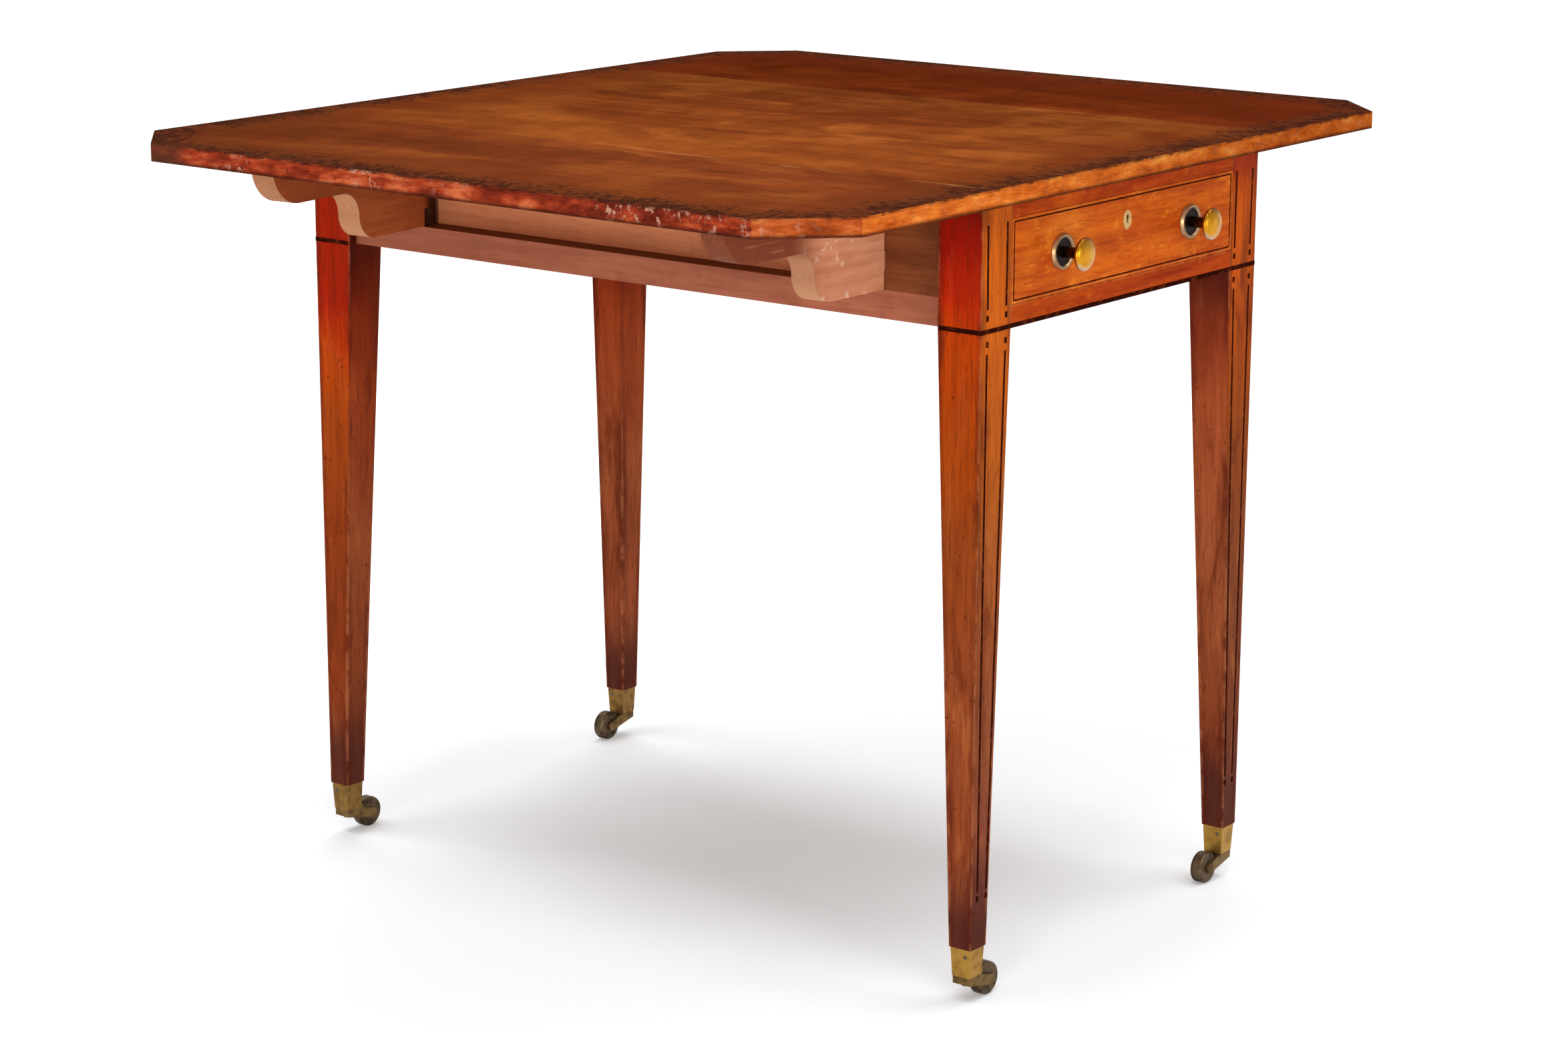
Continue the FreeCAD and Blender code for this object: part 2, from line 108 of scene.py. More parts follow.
def span(tree, value, low, high, out_low=0.0, out_high=1.0):
    node = add(tree, "ShaderNodeMapRange", interpolation_type="SMOOTHSTEP")
    for socket, number in zip(node.inputs, (value, low, high, out_low, out_high)):
        feed(tree, socket, number)
    return node.outputs["Result"]


def ramp(tree, value, stops):
    node = add(tree, "ShaderNodeValToRGB")
    marks = node.color_ramp.elements
    marks[0].position, marks[0].color = stops[0]
    marks[1].position, marks[1].color = stops[-1]
    for place, colour in stops[1:-1]:
        marks.new(place).color = colour
    feed(tree, node.inputs[0], value)
    return node.outputs["Color"]


def tones(*stops):
    return [(place, linear(r, g, b)) for place, r, g, b in stops]


def noise(tree, vector, scale, detail=3.0, rough=0.55, warp=0.0):
    node = add(tree, "ShaderNodeTexNoise")
    inputs = {"Vector": vector, "Scale": scale, "Detail": detail, "Roughness": rough,
              "Distortion": warp}
    for label, value in inputs.items():
        feed(tree, node.inputs[label], value)
    return node.outputs["Fac"]


def stretched(tree, vector, scale):
    node = add(tree, "ShaderNodeVectorMath", operation="MULTIPLY")
    feed(tree, node.inputs[0], vector)
    feed(tree, node.inputs[1], scale)
    return node.outputs[0]


def split(tree, vector):
    node = add(tree, "ShaderNodeSeparateXYZ")
    feed(tree, node.inputs[0], vector)
    return node.outputs


def new_group(name, inputs, outputs):
    tree = bpy.data.node_groups.new(name, "ShaderNodeTree")
    for label, kind, value in inputs:
        socket = tree.interface.new_socket(label, in_out="INPUT", socket_type=kind)
        if value is not None:
            socket.default_value = value
    for label in outputs:
        tree.interface.new_socket(label, in_out="OUTPUT", socket_type="NodeSocketFloat")
    return tree, add(tree, "NodeGroupInput").outputs, add(tree, "NodeGroupOutput").inputs


# wood figure: broad streaks, fine lines and short pores, all drawn out along the grain
wood_figure, given, taken = new_group(
    "wood_figure",
    [("Vector", "NodeSocketVector", None), ("Grain", "NodeSocketVector", (34, 2, 34))],
    ("Streak", "Pore", "Cloud", "Height"))
along = stretched(wood_figure, given["Vector"], given["Grain"])
broad = noise(wood_figure, along, 0.55, 4.0, 0.6, 0.8)
lines = noise(wood_figure, along, 3.2, 3.0, 0.6, 0.2)
pores = span(wood_figure, noise(wood_figure, along, 11.0, 1.0), 0.58, 0.7)
figure_parts = {
    "Streak": plus(wood_figure, times(wood_figure, broad, 0.62), times(wood_figure, lines, 0.38)),
    "Pore": pores,
    "Cloud": noise(wood_figure, given["Vector"], 9.0, 2.0),
    "Height": minus(wood_figure, times(wood_figure, lines, 0.4), times(wood_figure, pores, 0.6))}
for label, value in figure_parts.items():
    wood_figure.links.new(value, taken[label])

# arris wear: a broken pale line where hands and dusters rub an edge, and small dents
arris_wear, given, taken = new_group(
    "arris_wear",
    [("Vector", "NodeSocketVector", None), ("Distance", "NodeSocketFloat", 0.01),
     ("Reach", "NodeSocketFloat", 0.004)],
    ("Worn", "Dent"))
rub = noise(arris_wear, given["Vector"], 60.0, 3.0, 0.65)
away = maths(arris_wear, "DIVIDE", given["Distance"], given["Reach"])
near = span(arris_wear, minus(arris_wear, 1.0, away), 0.0, 0.9)
knocks = noise(arris_wear, given["Vector"], 150.0, 2.0, 0.7)
arris_wear.links.new(times(arris_wear, near, span(arris_wear, rub, 0.38, 0.6)), taken["Worn"])
arris_wear.links.new(span(arris_wear, knocks, 0.66, 0.74), taken["Dent"])


def new_material(name):
    material = bpy.data.materials.new(name)
    material.use_nodes = True
    tree = material.node_tree
    return material, tree, tree.nodes["Principled BSDF"], add(tree, "ShaderNodeTexCoord").outputs


def place_group(tree, group, **inputs):
    node = add(tree, "ShaderNodeGroup", node_tree=group)
    for key, value in inputs.items():
        feed(tree, node.inputs[key], value)
    return node.outputs


def raise_bump(tree, shader, height, depth, strength):
    bump = add(tree, "ShaderNodeBump")
    bump.inputs["Strength"].default_value = strength
    bump.inputs["Distance"].default_value = depth
    tree.links.new(height, bump.inputs["Height"])
    tree.links.new(bump.outputs["Normal"], shader.inputs["Normal"])


def finish_wood(tree, shader, colour, rough, gleam):
    # old wax and bare wood hardly gleam, so the mirror part is set low
    tree.links.new(colour, shader.inputs["Base Color"])
    tree.links.new(rough, shader.inputs["Roughness"])
    shader.inputs["Specular IOR Level"].default_value = gleam


def paint(node_name, material):
    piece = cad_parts[node_name]
    piece.data.materials.clear()
    piece.data.materials.append(material)
    return piece


def ease(piece, width):
    # the arrises are sanded, so they catch a thin line of light
    bevel = piece.modifiers.new("eased_arris", "BEVEL")
    bevel.width = width
    bevel.segments = 2
    bevel.limit_method = "ANGLE"
    bevel.angle_limit = math.radians(35)
    bevel.harden_normals = True


def leg_finish(name):
    material, tree, shader, coords = new_material(name)
    place = coords["Object"]
    figure = place_group(tree, wood_figure, Vector=place, Grain=(70.0, 70.0, 3.0))
    x, y, z = split(tree, place)
    at_right, at_back = span(tree, x, -0.1, 0.1), span(tree, y, -0.1, 0.1)
    in_x = minus(tree, leg_out_x, unsigned(tree, x))
    in_y = minus(tree, leg_out_y, unsigned(tree, y))
    # the tones change with the height, and not in a straight line across the leg
    wander = times(tree, minus(tree, noise(tree, place, 9.0, 2.0), 0.5), 0.12)
    high = plus(tree, z, wander)
    redder = plus(tree, high, times(tree, at_back, span(tree, high, 0.4, 0.5, 0.045, 0.105)))
    redder = maths(tree, "MINIMUM", redder, span(tree, y, -0.1, 0.1, 0.75, 0.64))
    # the tops of the sides and of the inner faces darken sharply: painted shade under the top
    side = ramp(tree, redder, tones(
        (0.1, 148, 70, 40), (0.3, 160, 78, 40), (0.42, 170, 78, 28), (0.5, 188, 76, 12),
        (0.595, 200, 66, 8), (0.63, 190, 40, 8), (0.665, 158, 20, 8), (0.695, 100, 12, 10)))
    show = ramp(tree, high, tones(
        (0.1, 134, 74, 56), (0.27, 152, 84, 50), (0.45, 172, 87, 28), (0.6, 206, 97, 20)))
    inner = ramp(tree, high, tones(
        (0.1, 152, 76, 46), (0.3, 168, 88, 52), (0.45, 174, 82, 46), (0.53, 142, 58, 32),
        (0.59, 80, 30, 22)))
    # the back pair kept more of its red polish, and the tops of its inner faces are painted darker
    # as shade under the top
    back_side = ramp(tree, high, [(0.32, (0.93, 0.74, 0.5, 1)), (0.46, (1, 1, 1, 1))])
    side = darken(tree, side, back_side, at_back)
    back_inner = ramp(tree, high, [(0.28, (1, 1, 1, 1)), (0.44, (0.82, 0.66, 0.5, 1)),
                                   (0.56, (0.7, 0.36, 0.18, 1))])
    inner = darken(tree, inner, back_inner, at_back)
    # painted shade: the right pair is duller on its end faces, and redder under the top
    right_show = ramp(tree, high, [(0.3, (0.68, 0.66, 0.6, 1)), (0.52, (0.9, 0.74, 0.5, 1))])
    show = darken(tree, show, right_show, at_right)
    under_top = times(tree, at_right, 0.8, span(tree, high, 0.65, 0.7))
    show = blend(tree, under_top, show, linear(150, 34, 14))
    colour = blend(tree, span(tree, in_y, 0.0008, 0.0016, 1.0, 0.0), inner, show)
    sideways = span(tree, unsigned(tree, split(tree, coords["Normal"])["X"]), 0.4, 0.6)
    outer_side = times(tree, sideways, span(tree, in_x, 0.0008, 0.0016, 1.0, 0.0))
    colour = blend(tree, outer_side, colour, side)
    # old polish lies in dark drifts, and below the knee it is rubbed through to paler wood
    drift = noise(tree, stretched(tree, place, (34.0, 34.0, 8.0)), 1.0, 4.0, 0.65, 0.6)
    colour = blend(tree, span(tree, drift, 0.51, 0.68, 0.0, 0.62), colour, linear(92, 34, 14))
    rubbed_and_reflected = times(tree, span(tree, drift, 0.32, 0.46, 0.5, 0.0),
                   span(tree, redder, 0.36, 0.5, 1.0, 0.2))
    colour = blend(tree, rubbed_and_reflected, colour, linear(200, 114, 60))
    dark_grain = minus(tree, 1.0, span(tree, figure["Streak"], 0.4, 0.62))
    colour = blend(tree, times(tree, dark_grain, 0.36), colour, linear(100, 32, 10))
    colour = blend(tree, times(tree, figure["Pore"], 0.4), colour, linear(70, 24, 12))
    foot = span(tree, high, 0.075, 0.15, 0.85, 0.0)
    colour = blend(tree, foot, colour, linear(76, 38, 32))
    # the four arrises: dark beside the edge, grime with painted shade, rubbed pale in places on it
    wide = span(tree, z, taper_foot, taper_top, leg_foot, leg_wide)
    to_x = maths(tree, "MINIMUM", in_x, minus(tree, wide, in_x))
    to_y = maths(tree, "MINIMUM", in_y, minus(tree, wide, in_y))
    to_arris = maths(tree, "MAXIMUM", to_x, to_y)
    grime_and_shade = times(tree, span(tree, to_arris, 0.0005, 0.009, 0.55, 0.0),
                  span(tree, drift, 0.4, 0.56, 0.25, 1.0))
    colour = blend(tree, grime_and_shade, colour, linear(84, 26, 14))
    wear = place_group(tree, arris_wear, Vector=place, Distance=to_arris, Reach=0.0024)
    colour = blend(tree, times(tree, wear["Worn"], 0.28), colour, linear(206, 126, 82))
    colour = blend(tree, times(tree, wear["Dent"], 0.6), colour, linear(58, 22, 14))
    finish_wood(tree, shader, colour, span(tree, figure["Streak"], 0.3, 0.7, 0.3, 0.44), 0.012)
    raise_bump(tree, shader, minus(tree, figure["Height"], wear["Dent"]), 0.0003, 0.4)
    return material


leg_mahogany = leg_finish("leg_mahogany")
for corner in corners:
    ease(paint(corner + "_leg", leg_mahogany), 0.0007)


# Stringing: strips of dark dyed holly let into the end faces of the legs, two lines on each,
# broken by a dot above and below a dark band that runs round the legs and under the end rails.
string_wide, dot_wide, half_dot = 0.0026, 0.0036, Vector((0, 0, 0.0025))
# where strings end and dots sit: in from the outer arris, in from the inner arris, height
string_ends = (((0.0085, 0.007, 0.687), (0.0095, 0.007, 0.616)),
               ((0.0093, 0.007, 0.578), (0.0085, 0.003, 0.104)))
dots = ((0.0094, 0.007, 0.6085), (0.0094, 0.007, 0.5865), (0.0085, 0.003, 0.098))
band_low, band_high, band_proud, band_deep = 0.5955, 0.5995, 0.0003, 0.001
band_end = 0.343


def skin(bm, rings):
    # side faces from each ring of points to the next
    count = len(rings[0])
    for low, high in zip(rings, rings[1:]):
        for i in range(count):
            bm.faces.new((low[i], low[(i + 1) % count], high[(i + 1) % count], high[i]))


def lay_slab(bm, start, end, width, outward, proud=0.00025, depth=0.0008):
    # one straight inlaid strip from start to end on a flat face
    run = (end - start).normalized()
    across = run.cross(outward).normalized() * (width / 2)
    rings = []
    for lift, trim in ((-depth, 1.0), (proud * 0.4, 1.0), (proud, 0.8)):
        rings.append([bm.verts.new(point + side * across * trim + outward * lift)
                      for point, side in ((start, -1), (start, 1), (end, 1), (end, -1))])
    bm.faces.new(rings[0][::-1])
    bm.faces.new(rings[2])
    skin(bm, rings)


def finish_piece(name, bm, materials, body):
    bmesh.ops.recalc_face_normals(bm, faces=bm.faces)
    mesh = bpy.data.meshes.new(name)
    bm.to_mesh(mesh)
    bm.free()
    for material in materials:
        mesh.materials.append(material)
    piece = bpy.data.objects.new(name, mesh)
    scene.collection.objects.link(piece)
    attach(piece, body)
    return piece


def string_finish(name):
    material, tree, shader, coords = new_material(name)
    worn = noise(tree, coords["Object"], 130.0, 3.0, 0.6)
    colour = blend(tree, span(tree, worn, 0.5, 0.74), linear(44, 13, 7), linear(98, 40, 18))
    finish_wood(tree, shader, colour, span(tree, worn, 0.3, 0.7, 0.36, 0.55), 0.0)
    raise_bump(tree, shader, worn, 0.0002, 0.3)
    return material


def on_leg(sx, sy, outer_inset, inner_inset, z):
    # the two points of a leg's end face at this height, set in from its arrises
    share = max(0.0, (taper_top - z) / (taper_top - taper_foot))
    width = leg_wide - (leg_wide - leg_foot) * share
    return [Vector((sx * (leg_out_x - inset), sy * leg_out_y, z))
            for inset in (outer_inset, width - inner_inset)]


dark_string = string_finish("dark_string")
for corner, (sx, sy) in corners.items():
    bm = bmesh.new()
    outward = Vector((0, sy, 0))
    for upper, lower in string_ends:
        for head, tail in zip(on_leg(sx, sy, *upper), on_leg(sx, sy, *lower)):
            lay_slab(bm, head, tail, string_wide, outward)
    for dot in dots:
        for point in on_leg(sx, sy, *dot):
            lay_slab(bm, point + half_dot, point - half_dot, dot_wide, outward)
    finish_piece(corner + "_leg_stringing", bm, [dark_string], "frame")

for end, sy in (("front", -1), ("back", 1)):
    bm = bmesh.new()
    face_x, face_y = leg_out_x + band_proud, leg_out_y + band_proud
    root_x, root_y = leg_out_x - band_deep, leg_out_y - band_deep
    outline = [(-face_x, band_end), (-face_x, face_y), (face_x, face_y), (face_x, band_end),
               (root_x, band_end), (root_x, root_y), (-root_x, root_y), (-root_x, band_end)]
    rings = [[bm.verts.new((x, sy * y, z)) for x, y in outline] for z in (band_low, band_high)]
    skin(bm, rings)
    for ring in rings:
        for quad in ((0, 1, 6, 7), (1, 2, 5, 6), (2, 3, 4, 5)):
            bm.faces.new([ring[i] for i in quad])
    finish_piece(end + "_band", bm, [dark_string], "frame")


# End rails: the strips above and below the drawer and the dummy drawer opposite, tenoned
# into the legs. Polished orange mahogany with the grain across, redder under the top.
lower_rail_top = 0.6155


def frieze_finish(name, bright, dark, glint):
    material, tree, shader, coords = new_material(name)
    place = coords["Object"]
    figure = place_group(tree, wood_figure, Vector=place, Grain=(4.0, 46.0, 46.0))
    x, _, z = split(tree, place)
    colour = blend(tree, span(tree, figure["Streak"], 0.36, 0.64), dark, bright)
    cloud = times(tree, span(tree, figure["Cloud"], 0.5, 0.7), 0.55)
    colour = blend(tree, cloud, colour, glint)
    mottle = noise(tree, stretched(tree, place, (0.5, 1.0, 1.0)), 75.0, 3.0, 0.65)
    colour = blend(tree, span(tree, mottle, 0.54, 0.68, 0.0, 0.5), colour, dark)
    colour = blend(tree, span(tree, mottle, 0.32, 0.45, 0.55, 0.0), colour, glint)
    colour = blend(tree, times(tree, figure["Pore"], 0.3), colour, linear(104, 36, 10))
    # painted shade: darker towards the right
    colour = darken(tree, colour, span(tree, x, -0.05, 0.2, 1.0, 0.93))
    # the drawer's foot and the rail below it rub together
    to_seam = unsigned(tree, minus(tree, z, lower_rail_top))
    wear = place_group(tree, arris_wear, Vector=place, Distance=to_seam, Reach=0.003)
    colour = blend(tree, times(tree, wear["Worn"], 0.35), colour, linear(220, 132, 62))
    colour = blend(tree, times(tree, wear["Dent"], 0.45), colour, linear(92, 34, 14))
    finish_wood(tree, shader, colour, span(tree, figure["Streak"], 0.3, 0.7, 0.28, 0.4), 0.012)
    raise_bump(tree, shader, minus(tree, figure["Height"], wear["Dent"]), 0.0003, 0.35)
    return material


rail_mahogany = frieze_finish("rail_mahogany", linear(186, 70, 12), linear(140, 40, 4),
                              linear(206, 92, 20))
for rail in ("front_top_rail", "front_bottom_rail", "back_rail"):
    ease(paint(rail, rail_mahogany), 0.0005)


# Side rails: dry stained beech under the leaves, tenoned into the legs, never polished,
# with a ledge strip below that carries the folded brackets.
grain_along, grain_across = (46.0, 3.0, 46.0), (3.0, 46.0, 46.0)
knuckle_x, knuckle_y = 0.2005, 0.267


def beech_finish(name, grain, pale, dark, sawn=None, outer=0.0, knuckle=0.0, scuffs=0.0,
                 painted_top_shade=None):
    material, tree, shader, coords = new_material(name)
    place = coords["Object"]
    figure = place_group(tree, wood_figure, Vector=place, Grain=grain)
    colour = blend(tree, span(tree, figure["Streak"], 0.3, 0.7, 0.2, 0.9), dark, pale)
    stain = noise(tree, place, 22.0, 3.0, 0.6, 0.4)
    colour = blend(tree, span(tree, stain, 0.5, 0.72, 0.0, 0.45), colour, dark)
    x, y, _ = split(tree, place)
    nx, ny, nz = split(tree, coords["Normal"])
    if sawn:
        # the saw left the curved ends and lower edges rough and pale
        curved = times(tree, span(tree, unsigned(tree, ny), 0.3, 0.6, 1.0, 0.0),
                       span(tree, nx, -0.25, -0.1, 1.0, 0.0))
        colour = blend(tree, times(tree, curved, 0.7), colour, sawn)
    if scuffs:
        # knocks have taken the stain off in small spots
        spots = span(tree, noise(tree, place, 85.0, 2.0, 0.6), 0.63, 0.69)
        colour = blend(tree, times(tree, spots, scuffs), colour, linear(236, 200, 172))
    if outer:
        # the thin outer half is darker
        darker_outer_half = span(tree, x, -0.345, -0.29, outer, 0.0)
        colour = blend(tree, darker_outer_half, colour, linear(110, 44, 24))
    if knuckle:
        # the wood round the pin is darkened
        apart = distance(tree, minus(tree, unsigned(tree, x), knuckle_x),
                         minus(tree, unsigned(tree, y), knuckle_y))
        darker_round_pin = span(tree, apart, 0.012, 0.019, knuckle, 0.0)
        colour = blend(tree, darker_round_pin, colour, linear(34, 16, 12))
    if painted_top_shade:
        # the upper face is painted dark: painted shade in the gap under the rail
        colour = blend(tree, span(tree, nz, 0.4, 0.7, 0.0, 0.8), colour, painted_top_shade)
    flecks = span(tree, noise(tree, stretched(tree, place, grain), 9.0, 1.0), 0.6, 0.68)
    colour = blend(tree, times(tree, flecks, 0.35), colour, dark)
    finish_wood(tree, shader, colour, span(tree, figure["Streak"], 0.3, 0.7, 0.6, 0.76), 0.05)
    raise_bump(tree, shader, figure["Height"], 0.0004, 0.5)
    return material


rail_beech = beech_finish("rail_beech", grain_along, linear(222, 142, 98), linear(182, 100, 64))
ledge_beech = beech_finish("ledge_beech", grain_along, linear(184, 110, 82), linear(142, 76, 54),
                           painted_top_shade=linear(112, 76, 42))
for side in ("left", "right"):
    ease(paint(side + "_side_rail", rail_beech), 0.0006)
    ease(paint(side + "_ledge", ledge_beech), 0.0008)


# Fly brackets: beech arms with a sawn ogee under them that swing out on wooden knuckles
# to carry a leaf, each turning on an iron pin beside its leg. The left pair has stood open
# to the light and to hands, the right pair has stayed folded.
folded_beech = beech_finish("folded_bracket_beech", grain_along, linear(204, 128, 88),
                            linear(150, 78, 48))
open_blocks = {
    "front_left": dict(pale=linear(146, 80, 44), dark=linear(88, 40, 20), knuckle=0.4),
    "back_left": dict(pale=linear(170, 96, 60), dark=linear(120, 60, 36), knuckle=0.9)}
# the back bracket's darker tones below are painted shade: it stands in the leaf's shadow
open_brackets = {
    "front_left": dict(pale=linear(232, 162, 122), dark=linear(184, 110, 76), outer=0.9,
                       knuckle=0.3, scuffs=0.6),
    "back_left": dict(pale=linear(180, 94, 50), dark=linear(130, 58, 26), outer=0.3,
                      knuckle=0.9)}
sawn_tone = linear(206, 152, 112)
for corner in corners:
    block_beech = arm_beech = folded_beech
    if corner in open_brackets:
        block_beech = beech_finish(corner + "_block_beech", grain_along, **open_blocks[corner])
        arm_beech = beech_finish(corner + "_bracket_beech", grain_across, sawn=sawn_tone,
                                 **open_brackets[corner])
    ease(paint(corner + "_fly_block", block_beech), 0.0006)
    ease(paint(corner + "_bracket", arm_beech), 0.0008)


# Drawer box: sides, back and bottom of oak, butted together behind the front, with the oak
# runners, kickers and stops it slides on and against. All of it is planed and left bare.
def oak_finish(name):
    material, tree, shader, coords = new_material(name)
    figure = place_group(tree, wood_figure, Vector=coords["Object"], Grain=(60.0, 3.0, 60.0))
    colour = blend(tree, span(tree, figure["Streak"], 0.36, 0.66), linear(138, 100, 62),
                   linear(186, 146, 100))
    colour = blend(tree, times(tree, figure["Pore"], 0.5), colour, linear(104, 72, 42))
    finish_wood(tree, shader, colour, span(tree, figure["Streak"], 0.3, 0.7, 0.6, 0.75), 0.05)
    raise_bump(tree, shader, figure["Height"], 0.0004, 0.5)
    return material


drawer_oak = oak_finish("drawer_oak")
for piece in ("left_side", "right_side", "back", "bottom", "runners", "kickers", "stops"):
    ease(paint("drawer_" + piece, drawer_oak), 0.0005)


# Drawer front: one mahogany board, orange and well polished, with a dark string line let in
# a few millimetres inside its edge all round.
line_wide, line_half, line_low, line_high = 0.0013, 0.1755, 0.6185, 0.6855
drawer_mahogany = frieze_finish("drawer_mahogany", linear(214, 100, 22), linear(168, 62, 12),
                                linear(230, 126, 38))
ease(paint("drawer_front", drawer_mahogany), 0.0007)
bm = bmesh.new()
line_corners = [Vector((x, -leg_out_y, z))
                for x, z in ((-line_half, line_low), (line_half, line_low),
                             (line_half, line_high), (-line_half, line_high))]
for i in range(4):
    lay_slab(bm, line_corners[i], line_corners[(i + 1) % 4], line_wide, Vector((0, -1, 0)))
finish_piece("drawer_stringing", bm, [dark_string], "drawer")


# Knobs: flat domed brass knobs on dished brass plates, bolted through the drawer front and the
# dummy end. The domes carry a painted reflection, and the wells of the plates are painted black,
# old dirt with painted shade.
knob_x, knob_z = 0.104, 0.651
metal_wear, given, taken = new_group(
    "metal_wear",
    [("Vector", "NodeSocketVector", None), ("Scale", "NodeSocketFloat", 90.0)],
    ("Tarnish", "Scratch"))
blotch = noise(metal_wear, given["Vector"], given["Scale"], 4.0)
drawn_out = stretched(metal_wear, given["Vector"], (1.0, 1.0, 8.0))
metal_wear.links.new(span(metal_wear, blotch, 0.42, 0.66), taken["Tarnish"])
metal_wear.links.new(noise(metal_wear, drawn_out, 420.0, 2.0), taken["Scratch"])


def brass_finish(name, bright, dull, shine, tarnish, well=False, rubbed_and_reflected=False):
    material, tree, shader, coords = new_material(name)
    x, y, z = split(tree, coords["Object"])
    nx, _, nz = split(tree, coords["Normal"])
    wear = place_group(tree, metal_wear, Vector=coords["Object"], Scale=110.0)
    dirt_and_shade = times(tree, wear["Tarnish"], tarnish)
    if well:
        # the hollow round each knob's neck is painted black: old polish and dirt, with painted
        # shade under the knob
        radius = distance(tree, minus(tree, unsigned(tree, x), knob_x), minus(tree, z, knob_z))
        dirt_and_shade = maths(tree, "MAXIMUM", dirt_and_shade, span(tree, radius, 0.0118, 0.0130, 1.0, 0.0))
        # painted shade: one side of the rim is darker than the other
        dirt_and_shade = maths(tree, "MAXIMUM", dirt_and_shade, span(tree, nx, -0.35, 0.1, 0.0, 0.6))
    if rubbed_and_reflected:
        # a painted reflection: pale on the belly where the floor shows and darker on the crown,
        # with bright brass at the sides
        bright = ramp(tree, span(tree, nz, -1.0, 1.0),
                      [(0.08, linear(196, 164, 140)), (0.3, bright), (0.6, bright), (0.92, dull)])
        neck = span(tree, unsigned(tree, y), 0.4046, 0.4056, 1.0, 0.0)
        bright = blend(tree, neck, bright, linear(44, 28, 20))
    tree.links.new(blend(tree, dirt_and_shade, bright, dull), shader.inputs["Base Color"])
    shader.inputs["Metallic"].default_value = 1.0
    rough = plus(tree, span(tree, wear["Scratch"], 0.3, 0.7, shine, shine + 0.12),
                 times(tree, dirt_and_shade, 0.25))
    tree.links.new(rough, shader.inputs["Roughness"])
    raise_bump(tree, shader, wear["Scratch"], 0.0001, 0.2)
    return material


knob_brass = brass_finish("knob_brass", linear(194, 134, 28), linear(120, 74, 14), 0.22, 0.4,
                          rubbed_and_reflected=True)
plate_brass = brass_finish("plate_brass", linear(200, 160, 116), linear(34, 20, 18), 0.26, 0.4,
                           well=True)
for end in ("drawer", "back"):
    paint(end + "_knobs", knob_brass)
    paint(end + "_knob_plates", plate_brass)


# Lock: a small oval brass keyhole plate in front, a brass case let in behind the drawer front,
# and an iron bolt that rises into the rail above.
def iron_finish(name):
    material, tree, shader, coords = new_material(name)
    wear = place_group(tree, metal_wear, Vector=coords["Object"], Scale=70.0)
    rust = wear["Tarnish"]
    colour = blend(tree, rust, linear(92, 84, 76), linear(70, 44, 30))
    tree.links.new(colour, shader.inputs["Base Color"])
    tree.links.new(span(tree, rust, 0.0, 1.0, 0.85, 0.2), shader.inputs["Metallic"])
    tree.links.new(span(tree, rust, 0.0, 1.0, 0.42, 0.75), shader.inputs["Roughness"])
    raise_bump(tree, shader, wear["Scratch"], 0.0002, 0.4)
    return material


lock_brass = brass_finish("lock_brass", linear(206, 168, 104), linear(120, 88, 48), 0.3, 0.6)
wrought_iron = iron_finish("wrought_iron")
for piece in ("escutcheon", "lock_case"):
    paint(piece, lock_brass)
paint("lock_bolt", wrought_iron)


# Top: a fixed mahogany board and two drop leaves with canted corners, planed and waxed, meeting
# in rule joints. The grain runs along the joints, a crossband along the outer edges has gone dark
# and speckled, the end edges are bright orange and the long edges red and chipped, the
# difference between them partly painted light and shade.
top_half_x, top_half_y, corner_cant, top_z = 0.473, 0.401, 0.062, 0.72
joint_x, band_wide = 0.228, 0.038


